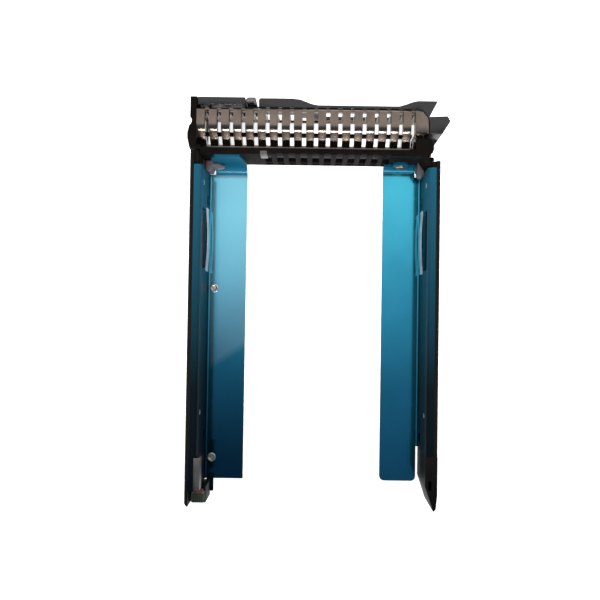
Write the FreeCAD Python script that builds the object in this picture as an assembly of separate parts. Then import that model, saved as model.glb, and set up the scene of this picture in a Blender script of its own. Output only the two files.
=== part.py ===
import FreeCAD, Part
import math
import os

V = FreeCAD.Vector

# Frame: front bezel at -Y, rear at +Y, open side up (+Z), X = 0 midway between the rails.
# The button side is +X and the lever's hinge side is -X.  Millimetres.

# ---- the drive that the caddy carries ------------------------------------------------
drive_width = 69.85
drive_side_clearance = 0.275
drive_rear = 58.5             # connector end of the drive
screw_from_rear = (14.0, 90.6)
screw_height = 3.0            # above the drive's base
screw_hole_radius = 1.6

# ---- folded sheet-metal sides --------------------------------------------------------
sheet = 0.8
bend_inner = 0.6
plate_height = 15.0
floor_flange_width = 12.5
top_flange_width = 1.7
button_scoop, hinge_scoop = 4.0, 1.5   # bend between the floor flange and the front tab
strip_rear = 59.6
wall_front = -41.5
button_tab_height = 13.9
hinge_tab_height = 3.8
corner_tab_height = 6.0
tab_corner_gap = 2.0
window_front, window_length = -28.6, 19.0
window_high = plate_height - 1.8
rear_tab_width, rear_tab_length = 3.6, 4.2
relief_width, relief_length = 1.3, 11.5

# ---- moulded rails -------------------------------------------------------------------
rail_thickness = 3.0
rail_foot = 0.9
rail_front, hinge_rail_front = -46.0, -43.6
groove_depth, groove_low, groove_high = 1.1, 5.4, 9.4
tail_rear = 65.0

# ---- bezel and grille ----------------------------------------------------------------
bezel_height = plate_height
bezel_foot = 0.6
claw_heel = -50.2             # rear of the claws at rest
cap_end = -46.4               # rear of the bezel's side beyond the button
front_face = -62.8
panel_thickness = 2.5
wall_rear = -45.0
wall_thickness = 1.9
fin_count = 19
fin_width = 2.5
fin_depth = 3.0
fin_front = -59.4
fin_crest = -52.9
fin_rear = -48.4
fin_drop = 4.6
crest_radius, crest_chords = 3.0, 3
beam = 0.7

# ---- ejector lever -------------------------------------------------------------------
pivot_y = -53.0
pin_radius = 0.8
running_clearance = 0.05
hub_radius = 1.9
hub_low = 3.0
lever_low, lever_high = 2.0, bezel_height - 0.9
hub_high = bezel_height - fin_depth - fin_drop - 0.2
cap_rear = -52.3
cap_corner = 4.9
lever_gap = 0.3
lever_skin = 1.1
handle_skin = 1.3
window_half_width = 1.2       # of the lever's windows between the ribs

# ---- release button ------------------------------------------------------------------
button_gap = 0.15
button_span = 19.21           # from the lever's free end to the end cap
button_wall = 1.0
lens_width = 3.1
lens_depth = 1.2
spring_wire = 0.2
coil_radius = 1.0
spring_post = 0.7
ring_outer, ring_inner, ring_depth, ring_z = 3.6, 2.7, 0.6, 8.0

# ---- fasteners and small parts ---------------------------------------------------------------------
rivet_radius, rivet_shank, rivet_height = 1.45, 0.85, 0.45
floor_rivet_y = (-3.5, 52.6)
leaf_thickness, leaf_height, leaf_low, leaf_bow = 0.25, 3.4, 2.7, 0.35
leaf_pad = 1.6
board_thickness = 0.8
flex_thickness, flex_height, flex_low = 0.15, 5.0, 4.0
hair = 0.3
screw_clear, screw_radius, screw_head = 1.05, 1.0, 1.7
screw_z, screw_ear = 4.9, 2.4

# ---- derived -------------------------------------------------------------------------
inner_face = drive_width / 2 + drive_side_clearance
outer_face = inner_face + sheet
strip_inner = outer_face - sheet - floor_flange_width
rail_outer = outer_face + rail_thickness
flange_edge = outer_face + top_flange_width
tab_face = wall_rear
grille_left = rail_outer - 1.79
grille_right = 5.49 - rail_outer
fin_pitch = (grille_left - grille_right - fin_width) / (fin_count - 1)
pivot_x = 5.4 - rail_outer
cap_edge = 3.8 - rail_outer
lever_free_end = grille_left - button_span
bezel_wall_front = wall_rear - wall_thickness
button_rear = front_face + panel_thickness


def box(x0, x1, y0, y1, z0, z1):
    """Block between two corners."""
    return Part.makeBox(x1 - x0, y1 - y0, z1 - z0, V(x0, y0, z0))


def prism(points, z0, z1):
    """Plan outline raised from z0 to z1."""
    loop = [V(x, y, z0) for x, y in points]
    return Part.Face(Part.makePolygon(loop + loop[:1])).extrude(V(0, 0, z1 - z0))


def section_x(points, x0, x1):
    """Outline in (y, z) drawn from x0 to x1."""
    loop = [V(x0, y, z) for y, z in points]
    return Part.Face(Part.makePolygon(loop + loop[:1])).extrude(V(x1 - x0, 0, 0))


def section_y(points, y0, y1):
    """Outline in (x, z) drawn from y0 to y1."""
    loop = [V(x, y0, z) for x, z in points]
    return Part.Face(Part.makePolygon(loop + loop[:1])).extrude(V(0, y1 - y0, 0))


def rod(radius, x, y, z0, z1):
    """Upright cylinder."""
    return Part.makeCylinder(radius, z1 - z0, V(x, y, z0))


def across(radius, x0, x1, y, z):
    """Cylinder along X."""
    return Part.makeCylinder(radius, x1 - x0, V(x0, y, z), V(1, 0, 0))


def along(radius, x, z, y0, y1):
    """Cylinder along Y."""
    return Part.makeCylinder(radius, y1 - y0, V(x, y0, z), V(0, 1, 0))


def picked(shape, chosen):
    """The edges that a test on their middle point and direction picks."""
    edges = []
    for edge in shape.Edges:
        middle = edge.valueAt((edge.FirstParameter + edge.LastParameter) / 2)
        run = edge.Vertexes[-1].Point - edge.Vertexes[0].Point
        if chosen(middle, run):
            edges.append(edge)
    return edges


def soften(shape, radius, chosen):
    """Round the picked edges."""
    return shape.makeFillet(radius, picked(shape, chosen))


def bevel(shape, size, chosen):
    """Cut the picked edges back at 45 degrees."""
    return shape.makeChamfer(size, picked(shape, chosen))


def mirror(shape):
    """The same piece for the other side."""
    return shape.mirror(V(0, 0, 0), V(1, 0, 0))


def together(shapes):
    """Separate solids kept in one node."""
    return Part.makeCompound(shapes)


# ======================================================================================
# Sheet-metal sides
# ======================================================================================
def folded_wall(wall_rear_end):
    """Floor flange, wall and outward top flange: one bent strip along Y."""
    outline = [
        (strip_inner, 0), (outer_face, 0), (outer_face, plate_height - sheet),
        (flange_edge, plate_height - sheet), (flange_edge, plate_height),
        (inner_face, plate_height), (inner_face, sheet), (strip_inner, sheet),
    ]
    body = section_y(outline, wall_front, wall_rear_end)

    def is_long(run):
        return abs(run.y) > 5

    corners = (
        (outer_face, 0, bend_inner + sheet),
        (inner_face, sheet, bend_inner),
        (inner_face, plate_height, bend_inner + sheet),
        (outer_face, plate_height - sheet, bend_inner),
    )
    for x, z, radius in corners:
        body = soften(
            body, radius,
            lambda m, run, x=x, z=z: is_long(run) and abs(m.x - x) < 0.01 and abs(m.z - z) < 0.01,
        )
    return body


def scooped_floor(tab_height, scoop, rear_end):
    """Floor flange whose front sweeps up into a tab against the bezel."""
    inner_y = tab_face + sheet
    outline = [
        (rear_end, 0), (tab_face, 0), (tab_face, tab_height),
        (inner_y, tab_height), (inner_y, sheet), (rear_end, sheet),
    ]
    x0, x1 = strip_inner, inner_face - tab_corner_gap
    body = section_x(outline, x0, x1)
    for y, z, radius in ((tab_face, 0, scoop + sheet), (inner_y, sheet, scoop)):
        body = soften(
            body, radius,
            lambda m, run, y=y, z=z: abs(run.x) > 5 and abs(m.y - y) < 0.01 and abs(m.z - z) < 0.01,
        )
    return body


def plate_holes():
    """Drive screws, leaf window and floor rivets, as tools to cut with."""
    tools = []
    for distance in screw_from_rear:
        tools.append(across(
            screw_hole_radius, inner_face - 1, outer_face + 1,
            drive_rear - distance, sheet + screw_height,
        ))
    window = box(
        inner_face - 1, outer_face + 0.2, window_front, window_front + window_length,
        leaf_low + leaf_height + 0.6, window_high,
    )
    tools.append(soften(window, 1.2, lambda m, run: abs(run.x) > 0.5))
    return tools


def rail_rivet_places():
    """Y positions of the rivets that hold each rail to its wall."""
    return (-36.5, 36.0)


def rivet_line():
    """Height of the rail rivets."""
    return plate_height - 3.4


def plate(tab_height, scoop):
    """One side: folded wall and scooped floor, with its holes."""
    body = folded_wall(strip_rear).fuse(scooped_floor(tab_height, scoop, strip_rear))
    body = body.removeSplitter()
    for tool in plate_holes():
        body = body.cut(tool)
    for y in rail_rivet_places():
        body = body.cut(across(rivet_shank + running_clearance, inner_face - 1, outer_face + 1, y, rivet_line()))
    return body


def make_button_side_plate():
    body = plate(button_tab_height, button_scoop)
    tab = box(
        outer_face - bend_inner - sheet - rear_tab_width + 1.4, outer_face - bend_inner - sheet,
        strip_rear - 1, strip_rear + rear_tab_length, 0, sheet,
    )
    body = body.fuse(tab).removeSplitter()
    for y in floor_rivet_y:
        body = body.cut(rod(rivet_shank + running_clearance, rivet_x(), y, -1, sheet + 1))
    outer = inner_face - tab_corner_gap
    high, low = button_tab_height + 1, button_tab_height - 9.0
    slant = section_y([
        (strip_inner - 1, low), (strip_inner, low), (strip_inner + 1.2, high), (strip_inner - 1, high),
    ], tab_face - 1, tab_face + sheet + 1)
    corner = section_y([
        (outer + 1, button_tab_height - 3.0), (outer, button_tab_height - 3.0),
        (outer - 2.1, high), (outer + 1, high),
    ], tab_face - 1, tab_face + sheet + 1)
    return body.cut(slant).cut(corner)


def make_hinge_side_plate():
    body = plate(hinge_tab_height, hinge_scoop)
    ear = box(
        screw_x() - screw_ear, screw_x() + screw_ear, tab_face, tab_face + sheet,
        hinge_scoop + sheet, screw_z + screw_head + 0.4,
    )
    body = body.fuse(bevel(ear, 0.8, lambda m, run: abs(run.y) > 0.5 and m.z > screw_z)).removeSplitter()
    body = body.cut(along(screw_clear, screw_x(), screw_z, tab_face - 1, tab_face + sheet + 1))
    gap_inner = outer_face - relief_width - 0.1
    body = body.cut(box(
        gap_inner, flange_edge + 1, strip_rear - relief_length, strip_rear + 1, -1, plate_height + 1,
    ))
    body = soften(
        body, 1.6,
        lambda m, run: abs(run.z) > 0.5 and m.y > strip_rear - 0.1 and m.z < sheet,
    )
    return mirror(body)


def rivet_x():
    """Centre of the floor rivets, clear of the bend at the wall's foot."""
    return inner_face - bend_inner - rivet_radius - 0.05


def screw_x():
    """Distance of the front screw from the caddy's middle."""
    return strip_inner + 5.2


# ======================================================================================
# Rails
# ======================================================================================
def rail_body(y0, y1):
    """Runner outside the wall: fills under the top flange and stands beside it."""
    top = plate_height - sheet
    outline = [
        (outer_face, rail_foot), (rail_outer - 0.6, rail_foot), (rail_outer, rail_foot + 0.6),
        (rail_outer, groove_low), (rail_outer - groove_depth, groove_low + 0.5),
        (rail_outer - groove_depth, groove_high - 0.5), (rail_outer, groove_high),
        (rail_outer, plate_height - 0.4), (rail_outer - 0.4, plate_height),
        (flange_edge, plate_height), (flange_edge, top), (outer_face + bend_inner, top),
        (outer_face, top - bend_inner),
    ]
    return section_y(outline, y0, y1)


def rail_cuts(body):
    """Rivet holes and the slot behind each leaf window."""
    for y in rail_rivet_places():
        body = body.cut(across(rivet_shank + running_clearance, outer_face - 1, rail_outer + 1, y, rivet_line()))
        body = body.cut(across(rivet_radius + 0.1, rail_outer - 0.5, rail_outer + 1, y, rivet_line()))
    for distance in screw_from_rear:
        body = body.cut(across(
            screw_hole_radius + 1.0, outer_face - 1, rail_outer + 1,
            drive_rear - distance, sheet + screw_height,
        ))
    recess = box(
        outer_face - 1, outer_face + 1.0, window_front, window_front + window_length,
        leaf_low + leaf_height + 0.6, window_high,
    )
    return body.cut(recess)


def make_button_side_rail():
    body = rail_cuts(rail_body(rail_front, tail_rear))
    floor = box(inner_face - 1.8, outer_face, strip_rear + hair, tail_rear, sheet, tray_floor())
    body = body.fuse(floor)
    body = body.cut(box(inner_face - 3, rail_outer - 1.0, strip_rear + hair, tail_rear + 1, tray_floor(), 20))
    x0, x1 = outer_face - 0.1, outer_face + flex_thickness + 0.1
    flex_way = box(x0, x1, flex_front() - 0.1, strip_rear + 1.4, flex_low - 0.1, flex_low + flex_height + 0.1)
    riser_way = box(x0, x1, strip_rear + 0.3, strip_rear + 1.4, flex_low, tray_floor() + 1)
    body = body.cut(flex_way).cut(riser_way)
    corner = prism([
        (rail_outer - 1.4, tail_rear + 1), (rail_outer - 1.4, tail_rear), (rail_outer, tail_rear - 1.4),
        (rail_outer + 1, tail_rear - 1.4), (rail_outer + 1, tail_rear + 1),
    ], 0, plate_height + 1)
    return body.cut(corner).removeSplitter()


def tray_floor():
    """Height at which the contact board lies in the rail's tail."""
    return plate_height - 5.8


def flex_front():
    """Where the flex circuit enters the rail's channel."""
    return rail_front + 0.6


def make_hinge_side_rail():
    start = strip_rear - relief_length
    body = rail_cuts(rail_body(hinge_rail_front, start))
    tail = [
        (inner_face, start), (inner_face, strip_rear - 2.5), (rail_outer - 1.2, tail_rear),
        (rail_outer - 0.4, tail_rear - 0.8), (rail_outer, tail_rear - 5.0), (rail_outer, start),
    ]
    spike = prism(tail, rail_foot, plate_height)
    slot = box(inner_face + 1.0, inner_face + 2.0, strip_rear - 4, strip_rear - 1, plate_height - 4, 20)
    return mirror(body.fuse(spike.cut(slot)).removeSplitter())


# ======================================================================================
# Bezel and grille
# ======================================================================================
def fin_centres():
    """X position of every rib, from the hinge side to the button side."""
    first = grille_right + fin_width / 2
    return [first + n * fin_pitch for n in range(fin_count)]


def slot_centres(low_x, high_x):
    """X position of the gaps between ribs that lie between two limits."""
    gaps = [x + fin_pitch / 2 for x in fin_centres()[:-1]]
    return [x for x in gaps if low_x < x < high_x]


def crest_points(radius, height):
    """Short chords of the rounded crest between a rib's flat top and its rear slope."""
    slope = math.atan2(fin_drop, fin_rear - fin_crest)
    start = fin_crest - radius * math.tan(slope / 2)
    turns = [slope * n / crest_chords for n in range(crest_chords + 1)]
    return [(start + radius * math.sin(t), height - radius * (1 - math.cos(t))) for t in turns]


def rib_profile():
    """Side view of a rib: flat top, round crest, rear slope, and a leg down the front."""
    under = bezel_height - fin_depth
    return [
        (fin_front, beam_top()), (fin_front, bezel_height - 0.7), (fin_front + 0.7, bezel_height),
    ] + crest_points(crest_radius, bezel_height) + [
        (fin_rear, bezel_height - fin_drop), (fin_rear, under - fin_drop), (fin_crest, under),
        (fin_front + beam, under), (fin_front + beam, beam_top()),
    ]


def beam_top():
    """Height of the bezel's front sill, on which the ribs' legs stand."""
    return bezel_foot + 1.4


def make_fin_grille():
    under = bezel_height - fin_depth
    pieces = []
    for x in fin_centres():
        pieces.append(section_x(rib_profile(), x - fin_width / 2, x + fin_width / 2))
    x0, x1 = grille_right, grille_left
    pieces.append(box(x0, x1, fin_front, fin_front + 0.6, under, bezel_height - 0.9))
    pieces.append(box(x0, x1, fin_front, fin_front + beam, beam_top(), beam_top() + 1.0))
    pieces.append(box(
        x0, x1, fin_rear - 0.5, fin_rear + 0.6, bezel_height - fin_drop - 1.4, bezel_height - fin_drop,
    ))
    cap = box(cap_edge, grille_right + fin_width, fin_front, cap_rear, under, bezel_height)
    cap = soften(
        cap, cap_corner - 0.8,
        lambda m, run: abs(run.z) > 1 and m.x < cap_edge + 0.1 and m.y < fin_front + 0.1,
    )
    cap = soften(cap, 0.5, lambda m, run: m.z > bezel_height - 0.1 and m.x < grille_right)
    body = pieces[0].multiFuse(pieces[1:] + [cap]).removeSplitter()
    arc_x, arc_y = arc_centre()
    outside = box(cap_edge - 1, arc_x, fin_front - 1, arc_y, 0, bezel_height + 1)
    outside = outside.cut(rod(cap_corner - 0.8, arc_x, arc_y, -1, bezel_height + 2))
    body = body.cut(outside)
    blind_hole = rod(pin_radius + running_clearance, pivot_x, pivot_y, under - 1, under + 1.6)
    return body.cut(blind_hole)


def end_cap():
    """Moulded side of the bezel beyond the button, with its finger notch."""
    x = grille_left
    side, notch, bulge = rail_outer + 0.3, rail_outer - 0.2, rail_outer + 1.1
    y = front_face
    outline = [
        (x, y), (side, y), (side, y + 6.4), (notch, y + 7.2), (notch, y + 8.1), (bulge - 0.5, y + 9.2),
        (bulge, y + 11.2), (bulge, y + 13.2), (side, cap_end), (x, cap_end),
    ]
    body = prism(outline, bezel_foot, bezel_height)
    return soften(body, 0.5, lambda m, run: m.z > bezel_height - 0.1 and m.x > x + 0.1)


def hinge_corner():
    """Pivot ear, floor under the claws, spring post, diagonal wall and deck over the claws."""
    floor_top = bezel_foot + 1.1
    ear = rod(1.8, pivot_x, pivot_y, bezel_foot, hub_low - hair)
    strap = box(pivot_x - 1.8, pivot_x + 1.8, pivot_y, wall_rear, bezel_foot, floor_top)
    floor = box(0.4 - rail_outer, pivot_x + 2.2, claw_heel, rail_front + 2.2, bezel_foot, floor_top)
    floor = floor.cut(box(-outer_face, pivot_x + 3, wall_rear, wall_front, 0, plate_height))
    post = rod(spring_post, spring_x(), spring_y(), floor_top, 9.6)
    diagonal = prism([
        (pivot_x, bezel_wall_front), (-outer_face, bezel_wall_front + 3.5),
        (-outer_face, wall_front - 0.2), (pivot_x, wall_rear),
    ], bezel_foot, bezel_height)
    deck = prism([
        (pivot_x + 2.4, wall_rear), (pivot_x + 2.4, claw_heel - 0.1), (pivot_x - 2.2, claw_heel - 0.1),
        (pivot_x - 3.2, claw_heel + 1.4), (pivot_x - 3.2, bezel_wall_front), (pivot_x - 2.3, wall_rear - 0.4),
        (pivot_x, wall_rear),
    ], lever_high + hair, bezel_height)
    return [ear, strap, floor, post, diagonal, deck]


def spring_x():
    return -rail_outer + 1.7


def spring_y():
    return rail_front + 0.7


def make_bezel_frame():
    wall = box(pivot_x, outer_face, bezel_wall_front, wall_rear, bezel_foot, bezel_height - 0.4)
    under = bezel_height - fin_depth
    bar_front, bar_rear, bar_top = fin_crest + 0.1, fin_crest + 0.9, under - 1.2
    hinge_bar = pivot_x + 3.0
    crossbar = box(hinge_bar, grille_left, bar_front, bar_rear, bar_top - 2.4, bar_top)
    web_top = under - fin_drop - 0.1
    hinge_post = box(hinge_bar, hinge_bar + 0.8, bar_front, bar_rear, bezel_foot, bar_top)
    hinge_web = box(hinge_bar, hinge_bar + 1.0, bar_front, bezel_wall_front, bezel_foot, web_top)
    floor_left = box(lens_low_x(), grille_left, -50.5, bezel_wall_front, bezel_foot, bezel_foot + 1.0)
    hinge_strap = box(hinge_bar, hinge_bar + 1.4, fin_front, bar_rear, bezel_foot, bezel_foot + 1.1)
    hinge_foot = box(hinge_bar, hinge_bar + 1.4, fin_front, fin_front + beam, bezel_foot, beam_top())
    button_foot = box(grille_left - 1.2, grille_left, fin_front, fin_front + beam, bezel_foot, beam_top())
    button_strap = box(
        lens_low_x() + 2.9, lens_low_x() + 4.1, lip_rear(), bezel_wall_front, bezel_foot, bezel_foot + 0.8,
    )
    button_post = box(outer_face, grille_left, bar_front, bar_rear, bezel_foot, bar_top)
    button_web = box(outer_face, grille_left, fin_front + 0.9, bezel_wall_front, bezel_foot, web_top)
    side_floor = box(outer_face, grille_left + 1, fin_rear + 0.7, cap_end, bezel_foot, bezel_height - 0.4)
    lens_seat = lens_bracket()
    parts = [
        wall, crossbar, hinge_post, hinge_web, hinge_strap, hinge_foot, floor_left, button_foot,
        button_strap, button_post, button_web, side_floor, end_cap(),
    ] + hinge_corner() + lens_seat + button_guides()
    body = parts[0].multiFuse(parts[1:]).removeSplitter()
    for x in slot_centres(pivot_x + 7.6, lever_free_end):
        vent = box(x - 1.1, x + 1.1, bezel_wall_front - 0.5, wall_rear + 0.5, 3.4, under - 3.0)
        dimple = box(x - 1.1, x + 1.1, wall_rear - 0.35, wall_rear + 0.5, 1.6, bezel_height)
        body = body.cut(vent).cut(dimple)
    bore = rod(pin_radius + running_clearance, pivot_x, pivot_y, bezel_foot + 0.5, hub_low)
    body = body.cut(bore)
    screw_hole = along(
        screw_radius + running_clearance, -screw_x(), screw_z, bezel_wall_front - 1, wall_rear + 1,
    )
    return body.cut(screw_hole)


def lens_bracket():
    """Step on the lip that the status lens stands on."""
    return [box(lens_low_x(), lens_low_x() + lens_width, front_face + 0.2, lip_rear(), bezel_foot, beam_top())]


def lip_rear():
    """Rear edge of the lip under the button."""
    return front_face + 1.6


def lens_low_x():
    """Edge of the lens beside the lever's free end."""
    return lever_free_end + 0.9


def button_guides():
    """Lip under the button, from the lens to the end cap."""
    return [box(lens_low_x(), grille_left, front_face + 0.4, lip_rear(), bezel_foot, bezel_foot + 0.8)]


# ======================================================================================
# Ejector lever, its pin and spring
# ======================================================================================
def lever_back():
    """Back face of the lever, just clear of the grille."""
    return fin_front - lever_gap


def lever_outline():
    """Plan of the lever: handle end, thin middle and the two claws."""
    back = lever_back()
    thin = back - lever_skin
    end = lever_free_end
    inner_x = cap_edge - lever_gap
    arc_x, arc_y = arc_centre()
    x, y = pivot_x, front_face
    return [
        (end, back), (end, y + 0.5), (end - 0.5, y), (end - 10.6, y), (end - 13.0, y + 0.3),
        (end - 16.5, y + 1.6), (end - 18.5, thin), (x + 7.6, thin), (x + 5.6, thin - 0.6),
        (x + 3.1, thin - 1.5), (x + 1.6, thin - 1.8), (x - 4.5, thin - 1.8), (x - 1.9, y + 5.2),
        (x - 7.6, y + 4.9), (x - 8.5, y + 6.5), (x - 5.3, y + 11.6), (x - 4.6, y + 12.2),
        (inner_x, claw_heel - 0.2), (inner_x, arc_y), (arc_x, arc_y), (arc_x, back),
    ]


def handle_hollows():
    """The handle is a thin shell, open at its back and underneath."""
    end = lever_free_end
    roof = lever_high - handle_skin
    hollows = []
    for x0, x1, skin in ((end - 11.2, end - handle_skin - 0.6, handle_skin), (end - 15.2, end - 11.2, 2.3)):
        hollows.append(box(x0, x1, front_face + skin, lever_back() + 1, lever_low - 1, roof))
    return hollows


def arc_centre():
    """Centre of the grille cap's rounded corner, which the lever wraps round."""
    radius = cap_corner - 0.8
    return cap_edge + radius, fin_front + radius


def make_ejector_lever():
    body = prism(lever_outline(), lever_low, lever_high)
    arc_x, arc_y = arc_centre()
    body = body.cut(rod(cap_corner - 0.8 + lever_gap, arc_x, arc_y, lever_low - 1, lever_high + 1))
    body = soften(body, 0.4, lambda m, run: abs(m.z - lever_high) < 0.01 and m.y < lever_back() - 0.5)
    low_heel = box(-rail_outer - 1, cap_edge, cap_rear + 0.1, bezel_wall_front, hub_high, lever_high + 1)
    body = body.cut(low_heel)
    hub = rod(hub_radius, pivot_x, pivot_y, hub_low, hub_high)
    web = box(cap_edge - lever_gap - 0.5, pivot_x, pivot_y - 1.6, pivot_y + 1.8, hub_low, hub_high)
    body = body.multiFuse([hub, web]).removeSplitter()
    body = body.cut(rod(pin_radius + running_clearance, pivot_x, pivot_y, hub_low - 1, hub_high + 1))
    for x in slot_centres(pivot_x + 7.6, lever_free_end - 19.7):
        body = body.cut(box(
            x - window_half_width, x + window_half_width, front_face, lever_back() + 0.5,
            lever_low + 1.2, lever_high - 1.9,
        ))
    for hollow in handle_hollows():
        body = body.cut(hollow)
    catch = box(
        lever_free_end - 1.6, lever_free_end + 1, lever_back() - 1.9, lever_back() - 0.9, 6.4, 10.6,
    )
    body = body.cut(catch)
    ring_seat = along(ring_outer, ring_x(), ring_z, front_face - 1, front_face + ring_depth)
    ring_seat = ring_seat.cut(along(ring_inner, ring_x(), ring_z, front_face - 1, front_face + ring_depth))
    return body.cut(ring_seat)


def ring_x():
    return lever_free_end - 5.4


def make_activity_lens():
    """Light ring set flush in the handle's face."""
    ring = along(ring_outer - running_clearance, ring_x(), ring_z, front_face, front_face + ring_depth)
    hole = along(ring_inner + running_clearance, ring_x(), ring_z, front_face - 1, front_face + ring_depth + 1)
    return ring.cut(hole)


def make_lever_pin():
    top = bezel_height - fin_depth + 1.4
    pin = rod(pin_radius, pivot_x, pivot_y, bezel_foot + 0.5, top)
    return bevel(pin, 0.2, lambda m, run: abs(run.z) < 0.1)


def coil(radius, wire, pitch, height):
    """Helical spring standing on the origin along +Z."""
    path = Part.Wire(Part.makeHelix(pitch, height, radius).Edges)
    corners = [V(radius + wire, 0, 0), V(radius, 0, wire), V(radius - wire, 0, 0), V(radius, 0, -wire)]
    ring = Part.makePolygon(corners + corners[:1])
    return path.makePipeShell([ring], True, True)


def make_lever_spring():
    """Torsion spring on its post, with a leg that bears on the claws."""
    height, base = 2.4, 3.2
    body = coil(coil_radius, spring_wire, 0.8, height)
    body.translate(V(spring_x(), spring_y(), base))
    leg = along(spring_wire, spring_x() - coil_radius, base + height + 0.5, claw_heel - 0.1, spring_y())
    return together([body, leg])


# ======================================================================================
# Button, its spring and the status lens
# ======================================================================================
def button_inner():
    """Edge of the button beside the lens."""
    return lens_low_x() + lens_width + button_gap


def button_outer():
    return grille_left - button_gap


def make_release_button():
    x0, x1 = button_inner(), button_outer()
    z0, z1 = bezel_foot + 0.8 + button_gap, bezel_height - 0.3
    body = box(x0, x1, front_face, button_rear, z0, z1)
    body = soften(body, 0.45, lambda m, run: m.y < front_face + 0.1)
    pocket = box(
        x0 + button_wall, x1 - button_wall, front_face + button_wall, button_rear + 1,
        z0 - 1, z1 - button_wall,
    )
    body = body.cut(pocket)
    arm = box(
        lever_free_end + 0.2, x0 + 0.5, lever_back() - 1.7, lever_back() - 1.1, 6.8, 10.2,
    )
    guides = [
        box(x - 0.4, x + 0.4, front_face + 0.5, fin_front + beam, 7.4, 8.6)
        for x in (min(slot_centres(x0, x1)), max(slot_centres(x0, x1)))
    ]
    return body.multiFuse([arm] + guides).removeSplitter()


def make_button_spring():
    """Compression spring between the button's back and one rib of the grille."""
    start = front_face + button_wall + spring_wire + 0.05
    length = fin_front - start - spring_wire - 0.05
    body = coil(coil_radius, spring_wire, length / 2, length)
    body.rotate(V(0, 0, 0), V(1, 0, 0), -90)
    body.translate(V(spring_rib_x(), start, 8.0))
    return body


def spring_rib_x():
    """Centre of the rib behind the middle of the button."""
    middle = (button_inner() + button_outer()) / 2
    return min(fin_centres(), key=lambda x: abs(x - middle))


def make_status_lens():
    x0 = lens_low_x()
    outline = [
        (x0, front_face + 0.3), (x0 + 0.3, front_face), (x0 + lens_width - 0.7, front_face),
        (x0 + lens_width, front_face + 0.6), (x0 + lens_width, front_face + lens_depth),
        (x0, front_face + lens_depth),
    ]
    return prism(outline, beam_top(), bezel_height - 0.6)


# ======================================================================================
# Leaf springs, fasteners and electrical parts
# ======================================================================================
def make_leaf(side):
    """Bowed strip at the foot of the wall: two pads and an arch into the bay."""
    y0 = window_front - leaf_pad / 2
    length = window_length + leaf_pad
    half = length / 2 - leaf_pad
    radius = (half * half + leaf_bow * leaf_bow) / (2 * leaf_bow)
    middle = y0 + length / 2
    centre_x = inner_face - leaf_thickness - leaf_bow + radius
    low, high = leaf_low, leaf_low + leaf_height
    outer = rod(radius, centre_x, middle, low, high)
    inner = rod(radius - leaf_thickness, centre_x, middle, low, high)
    reach = box(inner_face - 2, inner_face, middle - half - 0.2, middle + half + 0.2, low, high)
    arch = outer.cut(inner).common(reach)
    pads = [
        box(inner_face - leaf_thickness, inner_face, y0, y0 + leaf_pad, low, high),
        box(inner_face - leaf_thickness, inner_face, y0 + length - leaf_pad, y0 + length, low, high),
    ]
    body = arch.multiFuse(pads).removeSplitter()
    return body if side > 0 else mirror(body)


def make_floor_rivets():
    """Headed studs pressed into the button side's floor flange."""
    studs = []
    for y in floor_rivet_y:
        head = rod(rivet_radius, rivet_x(), y, sheet, sheet + rivet_height)
        head = bevel(head, 0.2, lambda m, run: m.z > sheet + rivet_height - 0.01)
        shank = rod(rivet_shank, rivet_x(), y, 0.05, sheet)
        studs.append(head.fuse(shank).removeSplitter())
    return together(studs)


def make_rail_rivets(side):
    """Rivets through each rail and wall, heads flush in the rail."""
    rivets = []
    for y in rail_rivet_places():
        shank = across(rivet_shank, inner_face - 0.1, rail_outer - 0.5, y, rivet_line())
        head = across(rivet_radius, rail_outer - 0.5, rail_outer - 0.1, y, rivet_line())
        rivets.append(shank.fuse(head).removeSplitter())
    group = together(rivets)
    return group if side > 0 else mirror(group)


def make_front_screw():
    """Cross-head screw through the ear of the hinge side's front tab into the bezel wall."""
    x, z = screw_x(), screw_z
    seat = tab_face + sheet
    shank = along(screw_radius, x, z, bezel_wall_front + 0.3, seat)
    head = along(screw_head, x, z, seat, seat + 0.8)
    head = bevel(head, 0.25, lambda m, run: m.y > seat + 0.79)
    slot = box(x - 1.2, x + 1.2, seat + 0.45, seat + 2, z - 0.2, z + 0.2)
    cross = box(x - 0.2, x + 0.2, seat + 0.45, seat + 2, z - 1.2, z + 1.2)
    return mirror(head.fuse(shank).removeSplitter().cut(slot).cut(cross))


def make_contact_board():
    """Board lying in the tray at the rail's rear end."""
    x0, x1 = inner_face - 1.6, rail_outer - 1.2
    y0, y1 = strip_rear + 1.5, tail_rear - 0.2
    body = box(x0, x1, y0, y1, tray_floor(), tray_floor() + board_thickness)
    return soften(body, 0.5, lambda m, run: abs(run.z) > 0.1)


def make_contact_pads():
    """Gold fingers side by side on the contact board."""
    top = tray_floor() + board_thickness
    x0, x1 = inner_face - 1.2, rail_outer - 1.6
    count = 5
    pitch = (x1 - x0) / count
    fingers = []
    for n in range(count):
        x = x0 + (n + 0.2) * pitch
        fingers.append(box(x, x + 0.6 * pitch, strip_rear + 2.3, tail_rear - 0.5, top, top + 0.08))
    return together(fingers)


def make_flex_circuit():
    """Flat circuit from the front board, along the wall, folded on to the contact board."""
    x0 = outer_face
    y1 = strip_rear + 1.2
    top = tray_floor() + board_thickness
    run = box(x0, x0 + flex_thickness, flex_front(), y1, flex_low, flex_low + flex_height)
    riser = box(x0, x0 + flex_thickness, strip_rear + 0.4, y1, flex_low, top + flex_thickness)
    landing = box(
        inner_face - 1.2, x0 + flex_thickness, strip_rear + 0.75, strip_rear + 2.2, top, top + flex_thickness,
    )
    return run.multiFuse([riser, landing]).removeSplitter()


def make_led_board():
    """Small board on the end cap that carries the indicator lights."""
    x1 = outer_face - 0.05
    return box(x1 - board_thickness, x1, claw_heel, bezel_wall_front, 3.0, bezel_height - fin_depth - fin_drop - 0.2)


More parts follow.
